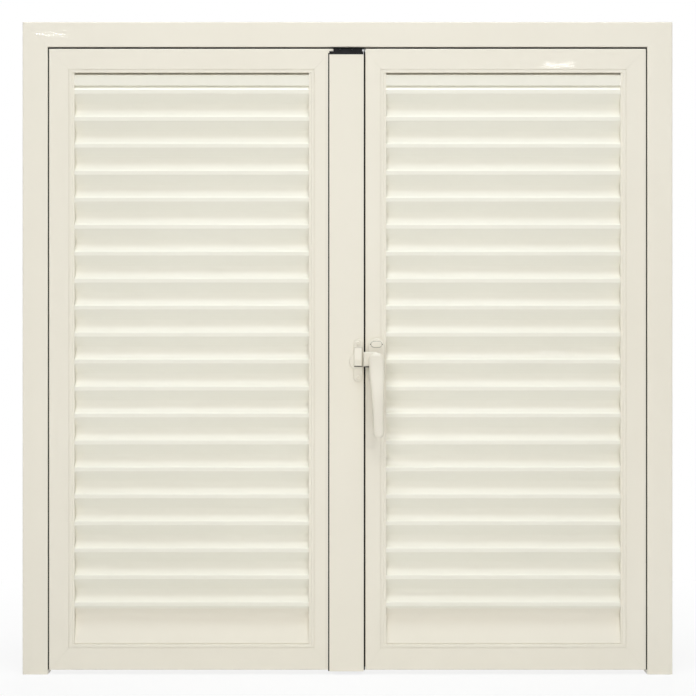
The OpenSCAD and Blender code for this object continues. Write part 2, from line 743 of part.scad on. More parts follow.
module astragal_top_cap() {
    cap_front = plate_front + cap_setback;
    color(black) placed() difference() {
        union() {
            cap_plug(astragal_top - guide_len, astragal_top + over);
            along_z(astragal_top, cap_top) translate([-left_meet + slip_air, cap_front])
                square([body_right + left_meet - slip_air, body_back - cap_front]);
            along_z(astragal_top, astragal_top + cap_step) translate([plate_left, plate_front])
                square([astragal_w, plate_back - plate_front]);
        }
        bolt_bore(astragal_top - guide_len, cap_top);
        for (s = [-1, 1]) translate([bolt_x + s * cap_slot_x, 0, 0])
            along_z(astragal_top + cap_step, cap_top + over) translate([-cap_slot_w / 2, cap_front - over])
                square([cap_slot_w, cap_slot_d + over]);
    }
}
module astragal_bottom_cap() {
    color(black) placed() difference() {
        cap_plug(astragal_bottom, astragal_bottom + guide_len);
        bolt_bore(astragal_bottom, astragal_bottom + guide_len);
    }
}

// A flush bolt is drawn with its tip at the origin, pointing up
module flush_bolt() {
    rod_z(bolt_r, -bolt_len, 0);
    translate([0, 0, -tab_drop]) rotate([0, 90, 0]) rod_z(tab_r, 0, body_right - bolt_x);
}
module top_bolt() { color(steel) placed() translate([bolt_x, bolt_v, cap_top]) flush_bolt(); }
module bottom_bolt() {
    color(steel) placed() translate([bolt_x, bolt_v, astragal_bottom]) mirror([0, 0, 1]) flush_bolt();
}
module strike_screw_places() {
    for (s = [-1, 1])
        translate([bolt_x + s * strike_screw_x, bolt_v, frame_in[1] - strike_t]) children();
}
module bolt_hole(z0, z1) {
    side = 2 * (bolt_r + bolt_hole_air);
    along_z(z0 - over, z1 + over) translate([bolt_x - side / 2, bolt_v - side / 2]) square(side);
}
module bolt_strike_plate() {
    color(steel) placed() difference() {
        along_x(bolt_x - strike_w / 2, bolt_x + strike_w / 2)
            translate([bolt_v - strike_d / 2, frame_in[1] - strike_t]) square([strike_d, strike_t]);
        bolt_hole(frame_in[1] - strike_t, frame_in[1]);
        strike_screw_places() screw_hole();
    }
}
module strike_screws() {
    flat_head_h = 0.7;
    color(steel) placed() strike_screw_places() {
        rod_z(screw_r, -flat_head_h / 2, screw_len);
        rod_z(screw_head_r, -flat_head_h, 0);
    }
}

// Latch keeper
module keeper_screw_places() {
    for (s = [-1, 1])
        translate([keeper_left + keeper_w / 2, plate_front - keeper_t, handle_z + s * keeper_screw_rise])
            to_back() children();
}
module latch_keeper() {
    color(cream) placed() difference() {
        union() {
            translate([keeper_left + keeper_w / 2, 0, handle_z]) along_v(plate_front - keeper_t, plate_front)
                stadium(keeper_w, keeper_h);
            translate([keeper_left + keeper_w / 2, 0, handle_z - shoulder_drop])
                along_v(plate_front - keeper_t, plate_front) intersection() {
                    circle(shoulder_r);
                    translate([-shoulder_r, -shoulder_r]) square([shoulder_r, 2 * shoulder_r]);
                }
            along_x(keeper_left, keeper_right) translate([0, handle_z + ramp_rise - ramp_h / 2])
                polygon([[plate_front, 0], [keeper_front, 0], [keeper_front, ramp_level],
                    [plate_front - keeper_t, ramp_h], [plate_front, ramp_h]]);
        }
        keeper_screw_places() screw_hole();
    }
}
module keeper_screws() { color(steel) placed() keeper_screw_places() screw(); }

// Handle base on the right leaf
module base_screw_places() {
    for (s = [-1, 1])
        translate([pivot_x, base_screw_seat, base_mid + s * base_screw_rise]) to_back() children();
}
module handle_base() {
    color(cream) placed() difference() {
        translate([pivot_x, 0, base_mid]) along_v(base_front, leaf_set) stadium(base_w, base_h);
        translate([pivot_x, 0, handle_z]) rod_v(pivot_r + run_air, base_front - over, leaf_set + over);
        base_screw_places() {
            screw_hole();
            rod_z(screw_head_r + slip_air, base_front - base_screw_seat - over, 0);
        }
    }
}
module handle_screws() { color(steel) placed() base_screw_places() screw(screw_len + leaf_wall); }
module handle_screw_cover() {
    color(cream) placed() translate([pivot_x, 0, base_mid + base_screw_rise])
        along_v(base_front - cover_t, base_front) stadium(cover_w, cover_h);
}

// Latch lever, drawn from its pivot in the closed position
module lever_outline() {
    tip_r = grip_w / 2;
    circle(hub_r);
    polygon([[-hub_r, 0], [hub_r, 0], [lever_lean + tip_r, tip_r - lever_len],
        [lever_lean - tip_r, tip_r - lever_len]]);
    translate([lever_lean, tip_r - lever_len]) circle(tip_r);
}
module lever_side() {
    polygon(band([[neck_v, hub_r], [neck_v, -neck_shoulder], [grip_v, -neck_drop],
        [grip_v, -neck_drop - over]], lever_t));
}
module grip_bar() {
    span = 2 * hub_r + lever_lean;
    along_z(-lever_len - over, -neck_drop) translate([-hub_r, grip_v - lever_t / 2]) {
        translate([0, grip_edge_r]) square([span, lever_t - 2 * grip_edge_r]);
        translate([grip_edge_r, 0]) square([span - 2 * grip_edge_r, lever_t]);
        for (x = [grip_edge_r, span - grip_edge_r], v = [grip_edge_r, lever_t - grip_edge_r])
            translate([x, v]) circle(grip_edge_r);
    }
}
module latch_lever() {
    color(cream) placed() translate([pivot_x, 0, handle_z]) difference() {
        union() {
            rod_v(hub_r, hub_front, hub_back);
            intersection() {
                along_v(grip_front - over, hub_back) lever_outline();
                union() {
                    along_x(-2 * hub_r, 2 * hub_r) lever_side();
                    grip_bar();
                }
            }
            along_v(spur_front, hub_back) translate([spur_tip - pivot_x, spur_rise - spur_h / 2])
                square([pivot_x - spur_tip, spur_h]);
        }
        rod_v(pivot_r + fit_air, hub_back - pivot_depth, hub_back + over);
    }
}
module lever_pivot() {
    color(steel) placed() translate([pivot_x, 0, handle_z])
        rod_v(pivot_r, hub_back - pivot_depth + slip_air, leaf_set - slip_air);
}
module lever_washer() {
    color(nylon) placed() translate([pivot_x, 0, handle_z]) difference() {
        rod_v(hub_r - washer_ledge, hub_back + washer_air, base_front - washer_air);
        rod_v(pivot_r + fit_air, hub_back - over, base_front + over);
    }
}

frame_head();
frame_left_jamb();
frame_right_jamb();
frame_corner_cleats();
frame_gaskets();
frame_hinge_wings();
hinge_pins();
frame_hinge_screws();
bolt_strike_plate();
strike_screws();
left_hinge_stile();
left_meeting_stile();
left_top_rail();
left_bottom_rail();
left_corner_cleats();
left_outer_slat_carrier();
left_inner_slat_carrier();
left_slats();
left_top_filler();
left_bottom_filler();
left_hinge_wings();
left_hinge_bushes();
left_hinge_screws();
astragal();
astragal_gasket();
astragal_seal();
astragal_top_cap();
astragal_bottom_cap();
astragal_screws();
latch_keeper();
keeper_screws();
right_hinge_stile();
right_meeting_stile();
right_top_rail();
right_bottom_rail();
right_corner_cleats();
right_outer_slat_carrier();
right_inner_slat_carrier();
right_slats();
right_top_filler();
right_bottom_filler();
right_hinge_wings();
right_hinge_bushes();
right_hinge_screws();
meeting_seal();
handle_base();
handle_screws();
handle_screw_cover();
latch_lever();
lever_pivot();
lever_washer();
top_bolt();
bottom_bolt();
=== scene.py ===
# %% [markdown]
# # Dressing a louvred shutter
#
# The shutter is a lacquered aluminium frame with two hinged leaves. Each leaf holds twenty fixed slats, a cover
# profile hides the joint between the leaves, and a lever latch holds them shut. The CAD model already has every
# piece in its right place. This lesson loads it, gives each piece a finish, and swaps a few plain solids for
# surfaces with the soft folds and rounded edges of the real pieces.

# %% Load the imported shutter
import json
import math

import bmesh
import bpy
import numpy as np
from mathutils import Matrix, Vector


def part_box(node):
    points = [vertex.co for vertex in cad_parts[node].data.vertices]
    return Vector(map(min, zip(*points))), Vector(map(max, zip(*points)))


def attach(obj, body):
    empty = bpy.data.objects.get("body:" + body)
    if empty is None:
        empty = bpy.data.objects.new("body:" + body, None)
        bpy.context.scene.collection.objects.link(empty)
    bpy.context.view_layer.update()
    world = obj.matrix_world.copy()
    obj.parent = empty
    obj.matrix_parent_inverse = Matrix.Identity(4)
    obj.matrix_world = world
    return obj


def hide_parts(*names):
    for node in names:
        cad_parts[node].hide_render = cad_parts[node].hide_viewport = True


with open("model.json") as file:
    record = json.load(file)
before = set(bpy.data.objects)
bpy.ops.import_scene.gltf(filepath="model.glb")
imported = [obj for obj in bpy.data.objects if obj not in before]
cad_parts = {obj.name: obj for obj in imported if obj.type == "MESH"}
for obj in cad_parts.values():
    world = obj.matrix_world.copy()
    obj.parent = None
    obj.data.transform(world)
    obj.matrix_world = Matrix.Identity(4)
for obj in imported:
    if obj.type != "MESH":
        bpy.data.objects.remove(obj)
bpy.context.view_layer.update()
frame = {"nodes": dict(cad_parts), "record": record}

# %% [markdown]
# ## Small tools
#
# Every new piece is a grid of points: rows of rings, one behind the other, as on a knitted tube. Quads join each
# ring to the next. The points come from numpy as whole arrays, so a piece is a formula and not a list of moves.
# The piece is then welded where points coincide, its faces are turned outwards, and edges sharper than a limit
# stay crisp while the rest is shaded smooth.

# %% Grid faces and finished pieces
MM = 0.001
WELD = 1e-7
CRISP = math.radians(38)
finishes = {}


def tube_faces(rows, ring):
    """Quads between neighbouring rings: point k of row r joins point k + 1, and both join row r + 1. The ring is
    closed, so the last point joins the first."""
    r, k = np.meshgrid(np.arange(rows - 1), np.arange(ring), indexing="ij")
    nxt = (k + 1) % ring
    quads = np.stack([r * ring + k, r * ring + nxt, (r + 1) * ring + nxt, (r + 1) * ring + k], axis=-1)
    return quads.reshape(-1, 4)


def stacked(shells):
    """One point list and one face list out of several shells: each shell's faces are shifted by the number of
    points before it."""
    counts = np.cumsum([0] + [len(points) for points, faces in shells])
    points = np.concatenate([points for points, faces in shells])
    faces = np.concatenate([faces + start for start, (_, faces) in zip(counts, shells)])
    return points, faces


def make_piece(name, shells, body, slot, stands_for=(), finish=None):
    """Put the shells, lists of points in millimetres and faces, into one mesh object that rides on a body. It
    takes the slot's finish, or a named shade of it."""
    points, faces = stacked(shells)
    mesh = bpy.data.meshes.new(name)
    mesh.from_pydata((points * MM).tolist(), [], faces.tolist())
    work = bmesh.new()
    work.from_mesh(mesh)
    bmesh.ops.remove_doubles(work, verts=work.verts, dist=WELD)
    bmesh.ops.recalc_face_normals(work, faces=work.faces)
    work.to_mesh(mesh)
    work.free()
    mesh.polygons.foreach_set("use_smooth", np.ones(len(mesh.polygons), dtype=bool))
    mesh.set_sharp_from_angle(angle=CRISP)
    piece = bpy.data.objects.new(name, mesh)
    bpy.context.scene.collection.objects.link(piece)
    mesh.materials.append(finishes[finish or slot])
    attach(piece, body)
    if stands_for:
        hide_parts(*stands_for)
    print(name, "faces:", len(mesh.polygons))


def box_mm(node):
    """Lowest and highest corner of a CAD node as arrays in millimetres."""
    low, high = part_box(node)
    return np.array(low) / MM, np.array(high) / MM


print("tools ready, sharp edge limit in degrees:", round(math.degrees(CRISP)))

# %% [markdown]
# Many of the pieces have a rounded box for a section. A superellipse gives it with one formula: it goes from an
# ellipse to a rounded box as its power grows. Carried straight up, it makes a rounded block.

# %% Rounded sections and blocks
def superellipse(count, power):
    """Unit outline: cosine and sine of the angle, each raised to 2 / power with its sign kept."""
    angle = np.linspace(0, 2 * np.pi, count, endpoint=False)
    c, s = np.cos(angle), np.sin(angle)
    return np.sign(c) * np.abs(c) ** (2 / power), np.sign(s) * np.abs(s) ** (2 / power)


def block_loft(low, high, power=10, edge=0.3, ring=32):
    """Rounded block: a superellipse of the box's half widths is carried up the box. It starts and ends as a point,
    and the first and last full sections are drawn in by an edge."""
    low, high = np.asarray(low, float), np.asarray(high, float)
    mid, half = (low + high) / 2, (high - low) / 2
    across, out = superellipse(ring, power)
    inset = np.array([np.inf, edge, 0, 0, edge, np.inf])
    points = np.empty((len(inset), ring, 3))
    points[..., 0] = mid[0] + np.maximum(half[0] - inset, 0)[:, None] * across
    points[..., 1] = mid[1] + np.maximum(half[1] - inset, 0)[:, None] * out
    points[..., 2] = np.array([low[2], low[2], low[2] + edge, high[2] - edge, high[2], high[2]])[:, None]
    return points.reshape(-1, 3), tube_faces(len(inset), ring)


print("points of a unit block:", len(block_loft((0, 0, 0), (1, 1, 1))[0]))

# %% [markdown]
# ## Finishes
#
# A finish starts from the Principled shader. Noise on Object coordinates gives the small unevenness that a real
# coating has: a slow drift of colour, a roughness that is never quite constant, and a fine relief, which is orange
# peel on lacquer and grain on plastic. A value that is the same all over sits on the shader's own socket, so that
# it survives the export.

# %% Node helpers
NOISE_LOW, NOISE_HIGH = 0.3, 0.7
BEVEL_SAMPLES = 6
EVEN = (1, 1, 1)


def object_noise(tree, scale, detail, stretch=EVEN):
    """Noise on Object coordinates, in waves per metre, squeezed along an axis by the stretch; gives its value."""
    place = tree.nodes.new("ShaderNodeTexCoord")
    mapping = tree.nodes.new("ShaderNodeMapping")
    mapping.inputs["Scale"].default_value = stretch
    noise = tree.nodes.new("ShaderNodeTexNoise")
    noise.inputs["Scale"].default_value = scale
    noise.inputs["Detail"].default_value = detail
    tree.links.new(place.outputs["Object"], mapping.inputs["Vector"])
    tree.links.new(mapping.outputs["Vector"], noise.inputs["Vector"])
    return noise.outputs["Fac"]


def ranged(tree, value, from_low, from_high, low, high):
    """Map a range of a value straight onto another range of numbers."""
    node = tree.nodes.new("ShaderNodeMapRange")
    for name, number in (("From Min", from_low), ("From Max", from_high), ("To Min", low), ("To Max", high)):
        node.inputs[name].default_value = number
    tree.links.new(value, node.inputs["Value"])
    return node.outputs["Result"]


def tinted(tree, value, dark, light):
    """Blend two colours by the middle of a noise."""
    ramp = tree.nodes.new("ShaderNodeValToRGB")
    for end, place, colour in zip(ramp.color_ramp.elements, (NOISE_LOW, NOISE_HIGH), (dark, light)):
        end.position = place
        end.color = (*colour, 1)
    tree.links.new(value, ramp.inputs["Fac"])
    return ramp.outputs["Color"]


def embossed(tree, value, height, strength, edge):
    """Let a noise stand for heights in metres and bend the normal by it; an edge radius softens sharp edges too."""
    bump = tree.nodes.new("ShaderNodeBump")
    bump.inputs["Distance"].default_value = height
    bump.inputs["Strength"].default_value = strength
    tree.links.new(value, bump.inputs["Height"])
    if edge:
        soft = tree.nodes.new("ShaderNodeBevel")
        soft.samples = BEVEL_SAMPLES
        soft.inputs["Radius"].default_value = edge
        tree.links.new(soft.outputs["Normal"], bump.inputs["Normal"])
    return bump.outputs["Normal"]


def new_finish(name, tones, drift, rough, span, grain, relief, edge=0.0, **sockets):
    """A Principled shader with constants on its named sockets and three noises, each a scale, a detail and perhaps
    a stretch. Drift blends the two tones, rough moves the roughness within a span, and grain is a relief of a
    height in metres and a strength, with a radius in metres for sharp edges."""
    material = bpy.data.materials.new(name)
    material.use_nodes = True
    tree = material.node_tree
    shader = tree.nodes["Principled BSDF"]
    for socket, value in sockets.items():
        shader.inputs[socket.replace("_", " ")].default_value = value
    roughness = ranged(tree, object_noise(tree, *rough), NOISE_LOW, NOISE_HIGH, *span)
    for socket, value in (("Base Color", tinted(tree, object_noise(tree, *drift), *tones)),
                          ("Roughness", roughness),
                          ("Normal", embossed(tree, object_noise(tree, *grain), *relief, edge))):
        tree.links.new(value, shader.inputs[socket])
    finishes[name] = material


# %% [markdown]
# The cream lacquer covers nearly everything, so it carries the picture. It is a satin base under a thin, much
# glossier skin: the base gives the calm cream tone, the skin gives the short bright dashes where a lamp mirrors.
# The drift of colour is kept within two parts in a hundred, as on a real batch of lacquered bars.
#
# The lacquer is described once and made with three pairs of tones: the bars' own, a shade lighter and cooler for
# the slats and the upper strip, and a shade darker for the latch's lever, base, screw cover and keeper.

# %% Cream lacquer
LACQUER = dict(drift=(2.6, 3.0), rough=(55, 3.0), span=(0.30, 0.38), grain=(420, 1.0), relief=(0.000004, 0.2),
               edge=0.0007, IOR=1.48, Coat_Weight=0.22, Coat_Roughness=0.03)
new_finish("cream_lacquer", ((0.840, 0.798, 0.689), (0.864, 0.824, 0.719)), **LACQUER)
new_finish("lighter_lacquer", ((0.855, 0.835, 0.733), (0.879, 0.861, 0.763)), **LACQUER)
new_finish("darker_lacquer", ((0.798, 0.758, 0.655), (0.822, 0.784, 0.684)), **LACQUER)
print("lacquers:", list(finishes))

# %% [markdown]
# The seals are matt black rubber with a trace of dust, the end caps are moulded plastic with a fine grain, and
# the bushes are natural nylon, which lets a little light in.

# %% Rubber, plastic and nylon
new_finish("black_rubber", ((0.005, 0.005, 0.005), (0.014, 0.014, 0.013)), drift=(90, 4.0), rough=(300, 2.0),
           span=(0.62, 0.85), grain=(1800, 3.0), relief=(0.00006, 0.3), IOR=1.5, Specular_IOR_Level=0.25)
new_finish("black_plastic", ((0.006, 0.006, 0.006), (0.014, 0.014, 0.015)), drift=(120, 3.0), rough=(500, 2.0),
           span=(0.38, 0.52), grain=(2600, 2.0), relief=(0.00005, 0.35), IOR=1.5, Specular_IOR_Level=0.15)
new_finish("nylon", ((0.70, 0.69, 0.65), (0.78, 0.77, 0.74)), drift=(150, 3.0), rough=(400, 2.0),
           span=(0.36, 0.5), grain=(1500, 2.0), relief=(0.00004, 0.25), IOR=1.53, Subsurface_Weight=0.15,
           Subsurface_Scale=0.002)
print("finishes so far:", list(finishes))

# %% [markdown]
# Zinc plating is a bright grey metal whose crystals tint it in patches. The corner cleats are cut from bare
# aluminium bar, so their grain runs along the bar, which a stretched noise gives.

# %% Zinc-plated steel and bare aluminium
ALONG_BAR, LONG_GRAIN = (1, 1, 0.05), (1, 1, 0.04)
new_finish("zinc_steel", ((0.46, 0.47, 0.49), (0.63, 0.63, 0.64)), drift=(260, 4.0), rough=(700, 3.0),
           span=(0.24, 0.42), grain=(2200, 2.0), relief=(0.00004, 0.2), Metallic=1.0)
new_finish("bare_aluminium", ((0.52, 0.52, 0.53), (0.66, 0.66, 0.67)), drift=(60, 3.0, ALONG_BAR),
           rough=(240, 3.0, ALONG_BAR), span=(0.32, 0.5), grain=(900, 2.0, LONG_GRAIN), relief=(0.00005, 0.3),
           Metallic=1.0)
for subpart in frame["record"]["subparts"]:
    node = frame["nodes"][subpart["node"]]
    node.data.materials.clear()
    node.data.materials.append(finishes[subpart["material_slot"]])

# %% [markdown]
# ## Slats
#
# A slat is one strip of sheet: a curved crest rising back from the nose, the upright nose, the long leg that falls
# back into the panel, and a small hem at its foot. The CAD solid has sharp folds and a faceted crest. Sheet can't
# fold sharply, so here every fold is an arc and the crest is a true one, which runs up until it lies on the leg of
# the slat above. The centre line is worked out first, then both sides are laid off along its normals, and the
# closed outline is carried along the slat.

# %% The folded section
SLAT_PATH = np.array([(0, 0), (0, -7), (32, -55), (32, -59)], float)
NOSE_FOOT = SLAT_PATH[1, 1]
LEG_FALL = (SLAT_PATH[2, 0] - SLAT_PATH[1, 0]) / (SLAT_PATH[1, 1] - SLAT_PATH[2, 1])
SLAT_SHEET, SLAT_COUNT = 1.4, 20
CAD_RISE, CREST_RISE, CREST_STEPS, SUNK = 22.0, 28.0, 14, 0.03
FOLD_RADIUS, FOLD_STEPS, FOLD_EASE = 1.2, 9, 0.25


def folded_line(corners, radius, steps):
    """Centre line of a folded strip: every inner corner becomes an arc, tangent to both legs, whose ends lie
    radius * tan(turn / 2) from the corner. Gives the points and the unit direction of travel at each."""
    legs = np.diff(corners, axis=0)
    heading = legs / np.linalg.norm(legs, axis=1)[:, None]
    angle = np.arctan2(heading[:, 1], heading[:, 0])
    turn = (np.diff(angle) + np.pi) % (2 * np.pi) - np.pi
    reach = radius * np.tan(np.abs(turn) / 2)
    begin = corners[1:-1] - heading[:-1] * reach[:, None]
    side = np.sign(turn)[:, None] * np.stack([-heading[:-1, 1], heading[:-1, 0]], axis=-1)
    centre = begin + radius * side
    sweep = np.linspace(0, 1, steps)[None, :] * turn[:, None]
    spoke = begin - centre
    arc = centre[:, None, :] + np.stack([spoke[:, :1] * np.cos(sweep) - spoke[:, 1:] * np.sin(sweep),
                                         spoke[:, :1] * np.sin(sweep) + spoke[:, 1:] * np.cos(sweep)], axis=-1)
    course = angle[:-1, None] + sweep
    before = begin - heading[:-1] * FOLD_EASE * radius
    after = arc[:, -1] + heading[1:] * FOLD_EASE * radius
    points = np.concatenate([before[:, None], arc, after[:, None]], axis=1).reshape(-1, 2)
    course = np.concatenate([course[:, :1], course, course[:, -1:]], axis=1).reshape(-1)
    points = np.concatenate([corners[:1], points, corners[-1:]])
    course = np.concatenate([angle[:1], course, angle[-1:]])
    return points, np.stack([np.cos(course), np.sin(course)], axis=-1)


def crest_line(span, rise):
    """Arc from the leg above down to the nose, which is the origin. It leaves the leg as its tangent, a rise above
    the nose; span is the height at which that leg meets the nose's plane. The tangent point is P, the leg's normal
    n, the radius is -P.P / (2 P.n) and the centre is P + radius * n."""
    p = np.array([(span - rise) * LEG_FALL + SUNK, rise])
    n = -np.array([1, LEG_FALL]) / math.hypot(1, LEG_FALL)
    radius = -p.dot(p) / (2 * p.dot(n))
    centre = p + radius * n
    angle = np.linspace(math.atan2(*(p - centre)[::-1]), math.atan2(*(-centre)[::-1]), CREST_STEPS)
    return centre + radius * np.stack([np.cos(angle), np.sin(angle)], axis=-1)


def laid_off(line, travel, thick):
    """Closed outline of a strip: half its thickness is laid off along the line's normals, out along one side and
    back along the other."""
    half = np.stack([-travel[:, 1], travel[:, 0]], axis=-1) * thick / 2
    return np.concatenate([line + half, (line - half)[::-1]])


def sheet_outline(corners):
    """Outline of a folded sheet: its corners are rounded, then its thickness is laid off."""
    return laid_off(*folded_line(corners, FOLD_RADIUS, FOLD_STEPS), SLAT_SHEET)


slat_low, slat_high = box_mm("left_slats")
last_nose = slat_low[2] - SLAT_PATH[-1, 1]
step = (slat_high[2] - CAD_RISE - last_nose) / (SLAT_COUNT - 1)
crest = crest_line(step + NOSE_FOOT, CREST_RISE)
section = sheet_outline(np.concatenate([crest[:-1], SLAT_PATH]))
print("slat outline points:", len(section), "pitch:", round(step, 2))

# %% [markdown]
# All slats of a leaf go into one piece, since they never move against each other. The first crest is short and
# steep, because the strip above it leaves no more room.

# %% A bank of slats for each leaf
FOLD_DEPTH = 4.6


def strip_caps(ring):
    """Quads that close both ends of a strip: the outline's point k faces point ring - 1 - k across the sheet."""
    k = np.arange(ring // 2 - 1)
    first = np.stack([k, ring - 1 - k, ring - 2 - k, k + 1], axis=-1)
    return np.concatenate([first, first[:, ::-1] + ring])


def strip_bank(node, outline, noses):
    """Carry a sheet's outline along X from the node's one end to the other, once for every nose height: a point is
    the outline point, lifted by the nose height, at either end of the strip."""
    low, high = box_mm(node)
    ring = len(outline)
    points = np.empty((len(noses), 2, ring, 3))
    points[..., 0] = np.array([low[0], high[0]])[None, :, None]
    points[..., 1] = outline[:, 0] + low[1] - outline[:, 0].min()
    points[..., 2] = outline[:, 1] + np.asarray(noses)[:, None, None]
    one = np.concatenate([tube_faces(2, ring), strip_caps(ring)])
    faces = one[None] + (np.arange(len(noses)) * 2 * ring)[:, None, None]
    return points.reshape(-1, 3), faces.reshape(-1, 4)


noses = last_nose + step * np.arange(SLAT_COUNT)
top_low, top_high = box_mm("left_top_filler")
flange, fold = top_high[2] - SLAT_SHEET / 2, top_low[2] + SLAT_SHEET / 2
first_section = sheet_outline(np.concatenate([[(FOLD_DEPTH, fold - noses[-1])], SLAT_PATH]))
for side in ("left", "right"):
    node = side + "_slats"
    make_piece(side + "_folded_slats", [strip_bank(node, section, noses[:-1]),
                                        strip_bank(node, first_section, noses[-1:])],
               side + "_leaf", "cream_lacquer", [node], "lighter_lacquer")

# %% [markdown]
# The strips above the first slat and under the last one are folded too. The lower one has a flange on the rail and
# a face that leans back and bends, with a wide radius, onto the last leg; it takes the bars' tone. The upper one is
# of the slats' sheet and takes their lighter tone. It hangs from a stepped flange and is folded back at its lower
# edge until it meets the first crest.

# %% Folded end strips
FILLER_H, FILLER_DEPTH, STEP_DEPTH, STEP_H = 34.0, 24.0, 8.0, 3.2
LEAN_BACK, COVE_R, COVE_STEPS, LEG_LAP, FOLD_LAP = 0.24, 18.0, 12, 14.0, 0.4
filler_top = box_mm("left_bottom_filler")[0][2] + FILLER_H
foot = SLAT_SHEET / 2 - FILLER_H
span = last_nose + NOSE_FOOT - filler_top
bend = (span * LEG_FALL + LEAN_BACK * foot) / (LEG_FALL + LEAN_BACK)
heights = np.array([bend + LEG_LAP, bend])
on_leg = np.stack([(span - heights) * LEG_FALL + SUNK, heights], axis=-1)
cove = folded_line(np.concatenate([on_leg, [(0, foot)]]), COVE_R, COVE_STEPS)[0]
lower = sheet_outline(np.concatenate([cove, [(FILLER_DEPTH, foot)]]))
upper = sheet_outline(np.array([(FILLER_DEPTH, flange), (STEP_DEPTH, flange), (STEP_DEPTH, flange - STEP_H),
                                (0, flange - STEP_H), (0, fold), (FOLD_DEPTH + FOLD_LAP, fold)]))
for side in ("left", "right"):
    below, above = side + "_bottom_filler", side + "_top_filler"
    make_piece(side + "_lower_strip", [strip_bank(below, lower, [filler_top])], side + "_leaf", "cream_lacquer",
               [below])
    make_piece(side + "_upper_strip", [strip_bank(above, upper, [0.0])], side + "_leaf", "cream_lacquer", [above],
               "lighter_lacquer")

# %% [markdown]
# ## Latch lever
#
# The lever is a casting: a round hub, a neck that swings out towards the hand, and a slim grip. It could be
# sculpted from a cube, but a loft is easier to trust: a superellipse is carried down the lever, and its width,
# thickness, sideways lean and depth are functions of the height.

# %% The lever's loft
hub_low, hub_high = box_mm("lever_pivot")
PIVOT = ((hub_low + hub_high) / 2)[[0, 2]]
FACE_Y = -2.0
HUB_R, GRIP_R, LEVER_LEN, LEVER_POWER = 14.0, 9.6, 142.0, 2.3
LEAN, HALF_T, END_ROUND, TAPER_RATE = 3.8, 6.5, 7.0, 1.15
NECK_DEPTH, GRIP_DEPTH, BEND_TOP, BEND_RUN = -31.5, -45.0, 2.0, 84.0
TAIL_BACK, TAIL_TOP, TAIL_RUN = 1.5, -70.0, 72.0


def smooth(t):
    """Cubic ease from 0 to 1: 3 t squared less 2 t cubed, flat at both ends."""
    t = np.clip(t, 0, 1)
    return t * t * (3 - 2 * t)


def rounding(t):
    """Quarter circle from 0 to 1, upright at its start: the root of 1 less the square of 1 - t."""
    return np.sqrt(1 - (1 - np.clip(t, 0, 1)) ** 2)


def lever_loft(rows=96, ring=48):
    """Sections from the hub's top to the grip's tip. The half width follows the hub's circle, then a smooth taper,
    then the tip's circle. The depth eases from neck to grip and a little back towards the tip, and each section
    tilts square to that slope."""
    tip = GRIP_R - LEVER_LEN
    drop = HUB_R - (HUB_R + LEVER_LEN) * (1 - np.cos(np.linspace(0, np.pi, rows))) / 2
    down = np.clip(drop / tip, 0, 1)
    taper = HUB_R + (GRIP_R - HUB_R) * smooth(down * TAPER_RATE)
    top = np.sqrt(np.clip(HUB_R ** 2 - np.clip(drop, 0, HUB_R) ** 2, 0, None))
    end = np.sqrt(np.clip(GRIP_R ** 2 - np.clip(tip - drop, 0, GRIP_R) ** 2, 0, None))
    half = np.where(drop > 0, top, np.where(drop < tip, end, taper))
    thick = HALF_T * rounding(np.minimum(HUB_R - drop, drop + LEVER_LEN) / END_ROUND)
    swing = (GRIP_DEPTH - NECK_DEPTH) * smooth((BEND_TOP - drop) / BEND_RUN)
    depth = NECK_DEPTH + swing + TAIL_BACK * smooth((TAIL_TOP - drop) / TAIL_RUN)
    slope = np.arctan(np.gradient(depth, drop))
    across, out = superellipse(ring, LEVER_POWER)
    points = np.empty((rows, ring, 3))
    points[..., 0] = PIVOT[0] + (LEAN * down)[:, None] + half[:, None] * across
    points[..., 1] = FACE_Y + depth[:, None] + thick[:, None] * np.cos(slope)[:, None] * out
    points[..., 2] = PIVOT[1] + drop[:, None] - thick[:, None] * np.sin(slope)[:, None] * out
    return points.reshape(-1, 3), tube_faces(rows, ring)


print("lever loft points:", len(lever_loft()[0]))

# %% [markdown]
# The hub under the lever is turned, so it is a profile spun round the pivot. The spur is the flat tongue that
# reaches across the joint to the keeper; it is the same superellipse loft, run sideways. A thin black strip under
# it is painted shade: it stands for the shadow beneath the spur.

# %% Hub and spur
HUB_BACK = -10.0
HUB_PROFILE = [(0, HUB_BACK), (12.8, HUB_BACK), (13.6, HUB_BACK - 0.3), (14.0, HUB_BACK - 1.0), (14.0, -20),
               (13.8, -26), (13.2, -30), (11, -32.5), (0, -33)]
SPUR_TIP, SPUR_T, SPUR_TOP, SPUR_FOOT, SPUR_POWER = 29.4, 6.0, 15.5, -11.5, 4.5
TIP_CROWD, TIP_ROUND, TIP_DRAW = 1.6, 2.2, 1.5
FLARE, FLARE_FROM, FLARE_RUN = 0.10, 16.0, 12.0
SHADE_STRIP_H, SHADE_STRIP_LAP, SHADE_STRIP_SET, SHADE_STRIP_TIP, SHADE_STRIP_END = 1.6, 0.3, 0.5, 0.6, 12.0


def spun(profile, centre, ring=64):
    """Spin a profile of radii and depths round an axis along Y: x is radius times cosine, z radius times sine."""
    angle = np.linspace(0, 2 * np.pi, ring, endpoint=False)
    radius, depth = np.asarray(profile, float).T
    points = np.empty((len(radius), ring, 3))
    points[..., 0] = centre[0] + radius[:, None] * np.cos(angle)
    points[..., 1] = FACE_Y + depth[:, None]
    points[..., 2] = centre[1] + radius[:, None] * np.sin(angle)
    return points.reshape(-1, 3), tube_faces(len(radius), ring)


